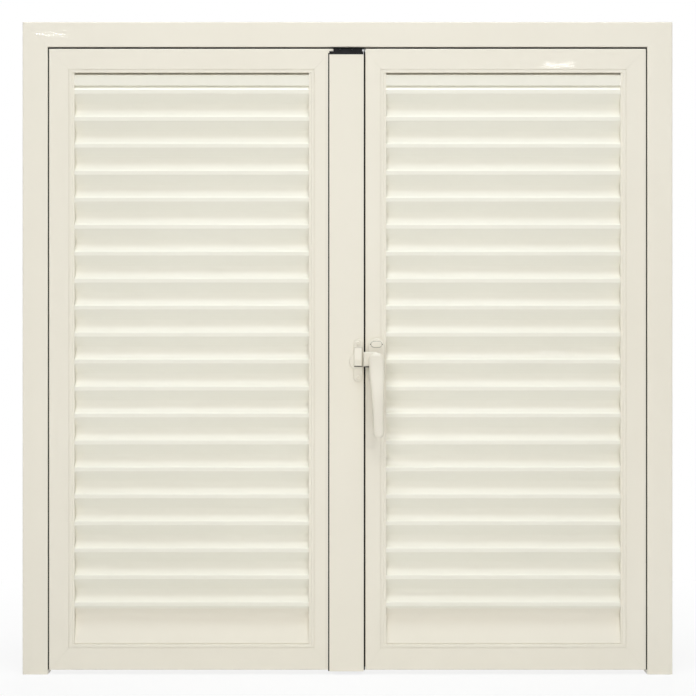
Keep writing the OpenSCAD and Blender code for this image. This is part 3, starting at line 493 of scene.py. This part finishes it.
def spur_loft(rows=28, ring=40):
    """Sections across the joint: from the tip, whose size grows as a quarter circle, to inside the hub, towards
    which they flare a little."""
    run = np.linspace(0, 1, rows) ** TIP_CROWD
    x = SPUR_TIP + (PIVOT[0] - SPUR_TIP) * run
    grow = rounding((x - SPUR_TIP) / TIP_ROUND)
    flare = 1 + FLARE * smooth((x - PIVOT[0] + FLARE_FROM) / FLARE_RUN)
    up, out = superellipse(ring, SPUR_POWER)
    mid, half = (SPUR_TOP + SPUR_FOOT) / 2, (SPUR_TOP - SPUR_FOOT) / 2
    tall = (half - TIP_DRAW + TIP_DRAW * grow * flare) * np.sign(grow)
    points = np.empty((rows, ring, 3))
    points[..., 0] = x[:, None]
    points[..., 1] = FACE_Y + HUB_BACK - SPUR_T / 2 + (SPUR_T / 2 * grow)[:, None] * out
    points[..., 2] = PIVOT[1] + mid + tall[:, None] * up
    return points.reshape(-1, 3), tube_faces(rows, ring)


make_piece("cast_lever", [lever_loft(), spun(HUB_PROFILE, PIVOT), spur_loft()], "latch_handle", "cream_lacquer",
           ["latch_lever"], "darker_lacquer")
# The black strip under the spur is painted shade, a dark line where the spur's shadow falls.
shade_strip_top, shade_strip_front = PIVOT[1] + SPUR_FOOT + SHADE_STRIP_LAP, FACE_Y + HUB_BACK - SPUR_T
make_piece("spur_shade_strip", [block_loft((SPUR_TIP + SHADE_STRIP_TIP, shade_strip_front + SHADE_STRIP_SET, shade_strip_top - SHADE_STRIP_H),
                                   (PIVOT[0] - SHADE_STRIP_END, shade_strip_front + SPUR_T - SHADE_STRIP_SET, shade_strip_top))],
           "latch_handle", "black_rubber")

# %% [markdown]
# ## Handle base, cover and keeper
#
# These three are pads with the outline of a stadium and rounded edges. Rings of the outline are drawn in step by
# step, following an edge profile of insets and heights, until the last ring closes on the pad's middle line.

# %% Stadium pads
BASE_ROUND, BASE_FLAT = 2.2, 6.0


def round_edge(half, height, radius, flat, steps=7):
    """Edge profile of a pad: from its middle line out along the back, up the side, over a quarter circle to the
    top, level from a flat inset on, and back to the middle line."""
    turn = np.linspace(0, np.pi / 2, steps)
    over = np.stack([radius * (1 - np.cos(turn)), height - radius * (1 - np.sin(turn))], axis=-1)
    return np.concatenate([[(half, 0), (0, 0)], over, [(flat, height), (half, height)]])


def square_edge(half, back, front):
    """Edge profile of a thin pad with square edges, from a back height to a front height."""
    return [(half, back), (0, back), (0, front), (half, front)]


def stadium_pad(centre, width, tall, back, edge, half_ring=24):
    """Rings of a stadium: round the upper and the lower end the spoke is (radius - inset) times cosine and sine,
    and the ends lie half the straight length from the middle. A ring's height lifts it towards the room."""
    radius, straight = min(width, tall) / 2, abs(tall - width) / 2
    angle = np.linspace(0, np.pi, half_ring)
    angle = np.concatenate([angle, angle + np.pi])
    shift = np.repeat([straight, -straight], half_ring)
    inset, height = np.asarray(edge, float).T
    spoke = (radius - inset)[:, None]
    first, second = spoke * np.cos(angle), spoke * np.sin(angle) + shift
    across, up = (first, second) if tall >= width else (second, -first)
    points = np.empty((len(inset), 2 * half_ring, 3))
    points[..., 0] = centre[0] + across
    points[..., 1] = FACE_Y + back - height[:, None]
    points[..., 2] = centre[1] + up
    return points.reshape(-1, 3), tube_faces(len(inset), 2 * half_ring)


def pad_place(node):
    """Middle in the picture plane, sizes and back depth of a CAD pad."""
    low, high = box_mm(node)
    return ((low + high) / 2)[[0, 2]], high - low, high[1] - FACE_Y


base_mid, (base_w, base_t, base_h), base_back = pad_place("handle_base")
base_edge = round_edge(base_w / 2, base_t, BASE_ROUND, BASE_FLAT)
make_piece("rounded_base", [stadium_pad(base_mid, base_w, base_h, base_back, base_edge)], "right_leaf",
           "cream_lacquer", ["handle_base"], "darker_lacquer")

# %% [markdown]
# The oblong cover hides a fixing screw. A thin black band round it paints the shade in its seam, and a black dot
# at each end, where a screwdriver lifts it off, paints the shade there.

# %% Screw cover and the painted shade of its seam
COVER_ROUND, COVER_FLAT = 0.9, 2.0
SEAM, SEAM_T, SEAM_SUNK, DOT_R, DOT_OUT = 0.45, 0.25, 0.05, 1.1, 0.4
cover_mid, (cover_w, cover_t, cover_h), cover_back = pad_place("handle_screw_cover")
cover_profile = round_edge(cover_h / 2, cover_t, COVER_ROUND, COVER_FLAT)
make_piece("oblong_cover", [stadium_pad(cover_mid, cover_w, cover_h, cover_back, cover_profile)], "right_leaf",
           "cream_lacquer", ["handle_screw_cover"], "darker_lacquer")
# The black band and the two dots are painted shade in the seam round the cover and at its ends.
seam = stadium_pad(cover_mid, cover_w + 2 * SEAM, cover_h + 2 * SEAM, cover_back,
                   square_edge(cover_h / 2 + SEAM, -SEAM_SUNK, SEAM_T))
dots = [stadium_pad((cover_mid[0] + side * (cover_w / 2 + DOT_OUT), cover_mid[1]), 2 * DOT_R, 2 * DOT_R,
                    cover_back, square_edge(DOT_R, -SEAM_SUNK, SEAM_T)) for side in (-1, 1)]
make_piece("cover_seam_shade", [seam] + dots, "right_leaf", "black_rubber")

# %% [markdown]
# The keeper has a ramp that the spur rides up. Its lower end is a sharp step, its upper end runs out into the
# plate, so the ramp is lofted up the keeper with a height that depends on how far up it is. A round shoulder of
# the plate stands out on one side, and a black strip under the ramp's step paints the shade in the slot there.

# %% Keeper with its ramp
PLATE_T, KEEP_W, KEEP_ROUND, KEEP_FLAT = 3.5, 17.0, 1.6, 3.0
SHOULDER_R, SHOULDER_DROP, SHOULDER_SET, SHOULDER_ROUND = 16.5, 2.0, 0.3, 1.4
RAMP_FOOT, RAMP_LEVEL, RAMP_HEAD, RAMP_T = 569.6, 581.5, 606.0, 9.0
RAMP_CROWD, RAMP_ROUND, RAMP_SUNK, RAMP_IN, RAMP_BLEND, FOOT_SHARE = 1.5, 0.9, 0.4, 0.3, 0.42, 0.25
SLOT_H, SLOT_SHORT, SLOT_SHIFT, SLOT_DROP, SLOT_SUNK, SLOT_T = 1.4, 1.5, 0.4, 0.5, 0.2, 1.2
keep_low, keep_high = box_mm("latch_keeper")
keep_back = keep_high[1] - FACE_Y
keep_x, keep_z = keep_high[0] - KEEP_W / 2, (keep_low[2] + keep_high[2]) / 2


def ramp_loft(rows=40, ring=36):
    """Half sections up the keeper, with cosine and sine raised to a blend as in a superellipse. The height jumps up
    within the foot's rounding, stays level, and falls straight to just under the plate's top at the head."""
    z = RAMP_FOOT + (RAMP_HEAD - RAMP_FOOT) * np.linspace(0, 1, rows) ** RAMP_CROWD
    foot = rounding((z - RAMP_FOOT) / RAMP_ROUND)
    low = PLATE_T - RAMP_SUNK
    tall = low + (RAMP_T - low) * np.clip((RAMP_HEAD - z) / (RAMP_HEAD - RAMP_LEVEL), 0, 1)
    angle = np.linspace(0, np.pi, ring)
    across = np.sign(np.cos(angle)) * np.abs(np.cos(angle)) ** RAMP_BLEND
    out = np.abs(np.sin(angle)) ** RAMP_BLEND
    rise = (tall * (1 - FOOT_SHARE + FOOT_SHARE * foot) * np.sign(foot))[:, None] * out
    points = np.empty((rows, 2 * ring, 3))
    points[..., 0] = keep_x + (KEEP_W / 2 - RAMP_IN) * np.concatenate([across, across[::-1]])
    points[..., 1] = FACE_Y + keep_back - np.concatenate([rise, np.zeros((rows, ring))], axis=1)
    points[..., 2] = z[:, None]
    points[-1, :, 1] = FACE_Y + keep_back
    return points.reshape(-1, 3), tube_faces(rows, 2 * ring)


plate = stadium_pad((keep_x, keep_z), KEEP_W, keep_high[2] - keep_low[2], keep_back,
                    round_edge(KEEP_W / 2, PLATE_T, KEEP_ROUND, KEEP_FLAT))
shoulder = stadium_pad((keep_x, PIVOT[1] - SHOULDER_DROP), 2 * SHOULDER_R, 2 * SHOULDER_R, keep_back,
                       round_edge(SHOULDER_R, PLATE_T - SHOULDER_SET, SHOULDER_ROUND, KEEP_FLAT), half_ring=40)
shoulder[0][:, 0] = np.minimum(shoulder[0][:, 0], keep_x)
make_piece("ramped_keeper", [plate, shoulder, ramp_loft()], "left_leaf", "cream_lacquer", ["latch_keeper"],
           "darker_lacquer")
# The black strip under the ramp's step is painted shade for the slot beneath it.
slot = stadium_pad((keep_x + SLOT_SHIFT, RAMP_FOOT - SLOT_DROP), KEEP_W - SLOT_SHORT, SLOT_H, keep_back - PLATE_T,
                   square_edge(SLOT_H / 2, -SLOT_SUNK, SLOT_T))
make_piece("ramp_slot_shade", [slot], "left_leaf", "black_rubber")

# %% [markdown]
# ## Screw heads
#
# The hinges are held by pan-head screws with a cross recess. A head is a spun profile, and the recess is pressed
# into it: where a point of the head lies within one of the two arms of the cross, it sinks.

# %% Pan-head screws
HEAD_R, HEAD_H, RIM_H, DOME_POWER = 3.8, 2.2, 0.8, 0.9
SHANK_R, SHANK_LEN, POINT_LEN = 2.0, 9.0, 1.0
ARM_HALF, ARM_FADE, ARM_LEN, END_FADE, CROSS_DEPTH, CROSS_ABOVE = 0.62, 0.3, 2.3, 0.7, 1.1, 0.5
HINGE_H, SEAT_INSET = 90.0, 18.0


def screw_bank(seats, facing, steps=14, ring=48):
    """One screw is a polar grid: profile radius and height by angle. The cross sinks points of the dome by a depth
    that fades out along and across each arm. The screw is copied to every seat; facing is +1 for heads to +Y."""
    dome = np.linspace(0, np.pi / 2, steps)
    radius = np.concatenate([HEAD_R * np.sin(dome) ** DOME_POWER, [HEAD_R, SHANK_R, SHANK_R, 0]])
    height = np.concatenate([RIM_H + (HEAD_H - RIM_H) * np.cos(dome),
                             [0, 0, -SHANK_LEN, -SHANK_LEN - POINT_LEN]])
    angle = np.linspace(0, 2 * np.pi, ring, endpoint=False)
    a, b = radius[:, None] * np.cos(angle), radius[:, None] * np.sin(angle)
    arms = [smooth((ARM_HALF - np.abs(p)) / ARM_FADE) * smooth((ARM_LEN - np.abs(q)) / END_FADE)
            for p, q in ((a, b), (b, a))]
    lift = height[:, None] - np.maximum(*arms) * CROSS_DEPTH * (height > CROSS_ABOVE)[:, None]
    one = np.stack([a, facing * lift, b], axis=-1).reshape(-1, 3)
    points = np.asarray(seats, float)[:, None, :] + one[None]
    faces = tube_faces(len(radius), ring)[None] + (np.arange(len(seats)) * len(one))[:, None, None]
    return points.reshape(-1, 3), faces.reshape(-1, 4)


def screw_seats(node):
    """Seats in the outermost columns of the node's box, on the upper and the lower hinge: two per wing, an inset
    from its ends. Where both columns are one, its seats are kept once."""
    low, high = box_mm(node)
    apart = HINGE_H - 2 * SEAT_INSET
    first, last = low[2] + HEAD_R, high[2] - HEAD_R
    seats = np.array([(x, high[1] - HEAD_H, z) for x in sorted({low[0] + HEAD_R, high[0] - HEAD_R})
                      for z in (first, first + apart, last - apart, last)])
    return seats[np.unique(np.round(seats[:, [0, 2]]), axis=0, return_index=True)[1]]


for node, body in (("frame_hinge_screws", "frame"), ("left_hinge_screws", "left_leaf"),
                   ("right_hinge_screws", "right_leaf")):
    make_piece(node.replace("screws", "pan_screws"), [screw_bank(screw_seats(node), 1)], body, "zinc_steel", [node])

# %% [markdown]
# The keeper is held by two screws of the same kind. They are lacquered like the bars, and their heads face the
# room.

# %% Lacquered keeper screws
key_low, key_high = box_mm("keeper_screws")
keeper_seats = np.array([(keep_x, FACE_Y + keep_back - PLATE_T, z)
                         for z in (key_low[2] + HEAD_R, key_high[2] - HEAD_R)])
make_piece("keeper_pan_screws", [screw_bank(keeper_seats, -1)], "left_leaf", "cream_lacquer", ["keeper_screws"])

# %% [markdown]
# ## Seals and end cap
#
# A soft lip on the rear seal closes the slit between the leaves, so no light shows through the joint. It is a
# thin strip that curves forward, carried from the foot of the leaf to its top.

# %% Wiper lip
LIP_T, LIP_REACH, LIP_RUN, LIP_ROOT, LIP_BACK = 0.45, 1.75, 3.2, 0.4, 1.2
LIP_BELOW, LIP_ABOVE = 6.4, 2.3
seal_low, seal_high = box_mm("astragal_seal")
leaf_low, leaf_high = box_mm("right_meeting_stile")


def lip_strip(steps=12):
    """The lip's centre line bends forward as a quarter circle seen from above, and its thickness is laid off to
    both sides."""
    turn = np.linspace(0, np.pi / 2, steps)
    x = seal_high[0] - LIP_ROOT + (LIP_REACH + LIP_ROOT) * np.sin(turn)
    y = seal_low[1] + LIP_BACK - LIP_RUN * (1 - np.cos(turn))
    travel = np.stack([np.gradient(x), np.gradient(y)], axis=-1)
    travel /= np.linalg.norm(travel, axis=1)[:, None]
    outline = laid_off(np.stack([x, y], axis=-1), travel, LIP_T)
    ring = len(outline)
    points = np.empty((2, ring, 3))
    points[..., :2] = outline
    points[..., 2] = np.array([leaf_low[2] - LIP_BELOW, leaf_high[2] + LIP_ABOVE])[:, None]
    return points.reshape(-1, 3), np.concatenate([tube_faces(2, ring), strip_caps(ring)])


make_piece("wiper_lip", [lip_strip()], "left_leaf", "black_rubber")

# %% [markdown]
# The gasket under the cover profile is widened along its other side into a black line, which paints the shade of
# the gap there, and a black end cap with a lip closes the profile's top. The profile's free edge, beside the joint,
# is rounded over by a slim edge of its own.

# %% Gasket with its painted shade line, end cap and cover edge
GASKET_SHADE_OUT, GASKET_POWER, GASKET_EDGE = 0.8, 14, 0.1
CAP_H, CAP_PROUD, CAP_BEHIND, CAP_UP, CAP_SIDE, CAP_POWER = 3.6, 0.5, 0.8, 0.8, 0.1, 16
EDGE_W, EDGE_T, EDGE_SET, EDGE_POWER = 0.8, 2.5, 0.3, 6
line_low, line_high = box_mm("astragal_gasket")
# The gasket is widened outwards so that its black paints the shade in the gap beside the cover profile.
gasket = block_loft(line_low - (GASKET_SHADE_OUT, 0, 0), line_high, GASKET_POWER, GASKET_EDGE)
make_piece("gasket_shade_line", [gasket], "left_leaf", "black_rubber", ["astragal_gasket"])
(left, front, base), (right, _, top) = box_mm("astragal")
cap = block_loft((left - CAP_SIDE, front - CAP_PROUD, top - CAP_H + CAP_UP),
                 (right + CAP_SIDE, front + CAP_BEHIND, top + CAP_UP), CAP_POWER)
make_piece("lipped_cap", [cap], "left_leaf", "black_plastic")
edge = block_loft((right - EDGE_SET, front + EDGE_SET, base + EDGE_SET),
                  (right + EDGE_W, front + EDGE_SET + EDGE_T, top - CAP_H), EDGE_POWER)
make_piece("cover_edge", [edge], "left_leaf", "cream_lacquer")

# %% [markdown]
# ## Floor, light and camera
#
# The shutter stands on a pale floor that reads as white to the camera and still takes a soft shadow. Light Path
# tells rays from the camera and from mirrors from the rays that carry light, so the white shows in the picture
# and in reflections, and doesn't light the shutter. Near the shutter the floor glows a little less, which lets the
# shadow show there, and further out the glow is full.

# %% Floor
FLOOR = 9.0
FLOOR_COLOUR = (0.86, 0.86, 0.85, 1)
NEAR_GLOW, GLOW_FROM, GLOW_FULL = 0.82, 0.5, 1.6
floor_mesh = bpy.data.meshes.new("floor")
floor_mesh.from_pydata([(-FLOOR, -FLOOR, 0), (FLOOR, -FLOOR, 0), (FLOOR, FLOOR, 0), (-FLOOR, FLOOR, 0)], [],
                       [(0, 1, 2, 3)])
floor = bpy.data.objects.new("floor", floor_mesh)
bpy.context.scene.collection.objects.link(floor)


def seen_directly(tree):
    """1 for rays from the camera, mirrors and glass, 0 for rays that only carry light."""
    path = tree.nodes.new("ShaderNodeLightPath")
    total = path.outputs["Is Camera Ray"]
    for name in ("Is Glossy Ray", "Is Transmission Ray"):
        join = tree.nodes.new("ShaderNodeMath")
        join.operation = "MAXIMUM"
        tree.links.new(total, join.inputs[0])
        tree.links.new(path.outputs[name], join.inputs[1])
        total = join.outputs["Value"]
    return total


def mixed(tree, share, first, second, output):
    """Send the blend of two shaders to an output node: the share is that of the second."""
    mix = tree.nodes.new("ShaderNodeMixShader")
    for socket, value in zip(mix.inputs, (share, first, second)):
        tree.links.new(value, socket)
    tree.links.new(mix.outputs["Shader"], tree.nodes.new(output).inputs["Surface"])


paint = bpy.data.materials.new("pale_floor")
paint.use_nodes = True
tree = paint.node_tree
tree.nodes.clear()
matt = tree.nodes.new("ShaderNodeBsdfDiffuse")
matt.inputs["Color"].default_value = FLOOR_COLOUR
glow = tree.nodes.new("ShaderNodeEmission")
glow.inputs["Strength"].default_value = 1.0
away = tree.nodes.new("ShaderNodeVectorMath")
away.operation = "LENGTH"
tree.links.new(tree.nodes.new("ShaderNodeTexCoord").outputs["Object"], away.inputs[0])
share = tree.nodes.new("ShaderNodeMath")
share.operation = "MULTIPLY"
tree.links.new(seen_directly(tree), share.inputs[0])
tree.links.new(ranged(tree, away.outputs["Value"], GLOW_FROM, GLOW_FULL, NEAR_GLOW, 1.0), share.inputs[1])
mixed(tree, share.outputs["Value"], matt.outputs["BSDF"], glow.outputs["Emission"], "ShaderNodeOutputMaterial")
floor_mesh.materials.append(paint)
print("floor side in metres:", 2 * FLOOR)

# %% [markdown]
# The world is white to the camera too, but gives only a low, even light, which fills in what the lamps leave dark.

# %% World
AMBIENT = 0.12
world = bpy.data.worlds.new("studio")
bpy.context.scene.world = world
world.use_nodes = True
tree = world.node_tree
tree.nodes.clear()


def even_air(tree, strength):
    """A white background of some strength; gives its shader socket."""
    air = tree.nodes.new("ShaderNodeBackground")
    air.inputs["Color"].default_value = (1, 1, 1, 1)
    air.inputs["Strength"].default_value = strength
    return air.outputs["Background"]


mixed(tree, seen_directly(tree), even_air(tree, AMBIENT), even_air(tree, 1.0), "ShaderNodeOutputWorld")
print("ambient level:", AMBIENT)

# %% [markdown]
# Two key lamps give the lever its two faint shadows, and two slim glints of little power, close to them, draw the
# short dashes on the lacquer; the keys themselves don't show in reflections, or the dashes would be broad. A cool
# panel overhead picks out the top of every slat, and a slanting panel in front lights the bars. Two low panels, one
# of them on the floor, light the slats' legs from below, as a white studio floor does. A panel behind the shutter
# lights its back, for views from there.

# %% Lamps
def soft_lamp(name, place, target, size, watts, colour, mirrored):
    """A rectangular lamp at a place, turned so that it faces the target; mirrored says if reflections show it."""
    lamp = bpy.data.lights.new(name, "AREA")
    lamp.shape = "RECTANGLE"
    lamp.size, lamp.size_y = size
    lamp.energy = watts
    lamp.color = colour
    stand = bpy.data.objects.new(name, lamp)
    stand.location = place
    aim = np.array(target, float) - np.array(place, float)
    yaw, pitch = math.atan2(aim[0], -aim[1]), math.atan2(math.hypot(aim[0], aim[1]), -aim[2])
    stand.rotation_euler = (pitch, 0, math.pi + yaw)
    stand.visible_camera = False
    stand.visible_glossy = mirrored
    bpy.context.scene.collection.objects.link(stand)


CENTRE = (0, 0, 0.6)
KEY_SIZE, PANEL_SIZE = (0.26, 0.16), (2.8, 1.2)
WHITE, WARM, WARMER, COOL = (1, 1, 1), (1.0, 0.98, 0.95), (1.06, 1.0, 0.96), (0.93, 1.0, 1.06)
LAMPS = (("left_key", (-0.87, -2.0, 1.52), CENTRE, KEY_SIZE, 5.0, WARM, False),
         ("right_key", (0.62, -2.0, 1.43), CENTRE, KEY_SIZE, 5.0, WARM, False),
         ("low_panel", (0, -1.2, 0.1), (0, 0, 0.11), (2.4, 0.17), 2.0, WARMER, False),
         ("floor_panel", (0, -1.7, 0.02), (0, -1.69, 1.0), (2.8, 0.8), 6.0, WHITE, False),
         ("left_glint", (-0.868, -2.0, 1.521), (-0.868, 0, 0.6), (0.097, 0.004), 0.07, WHITE, True),
         ("right_glint", (0.620, -2.0, 1.433), CENTRE, (0.088, 0.010), 0.12, WHITE, True),
         ("top_panel", (0, -1.1, 5.0), CENTRE, PANEL_SIZE, 94.0, COOL, True),
         ("slant_panel", (0, -3.2, 3.8), CENTRE, PANEL_SIZE, 56.0, WARM, True),
         ("back_panel", (0, 3.6, 1.8), CENTRE, (3.0, 2.0), 95.0, WHITE, True))
for lamp in LAMPS:
    soft_lamp(*lamp)

# %% [markdown]
# The picture is taken square on, from half the shutter's height. The width that the picture takes in and the
# distance give the focal length by similar triangles.

# %% Camera
VIEW_W, DISTANCE, SENSOR = 1.2848, 3.4, 36.0
VIEW_X, VIEW_Z = 0.0009, 0.6027
camera = bpy.data.cameras.new("camera")
camera.sensor_width = SENSOR
camera.lens = SENSOR * DISTANCE / VIEW_W
stand = bpy.data.objects.new("camera", camera)
stand.location = (VIEW_X, FACE_Y * MM - DISTANCE, VIEW_Z)
stand.rotation_euler = (math.pi / 2, 0, 0)
bpy.context.scene.collection.objects.link(stand)
bpy.context.scene.camera = stand
bpy.context.scene.view_settings.view_transform = "Standard"
print("lens in millimetres:", round(camera.lens, 1))
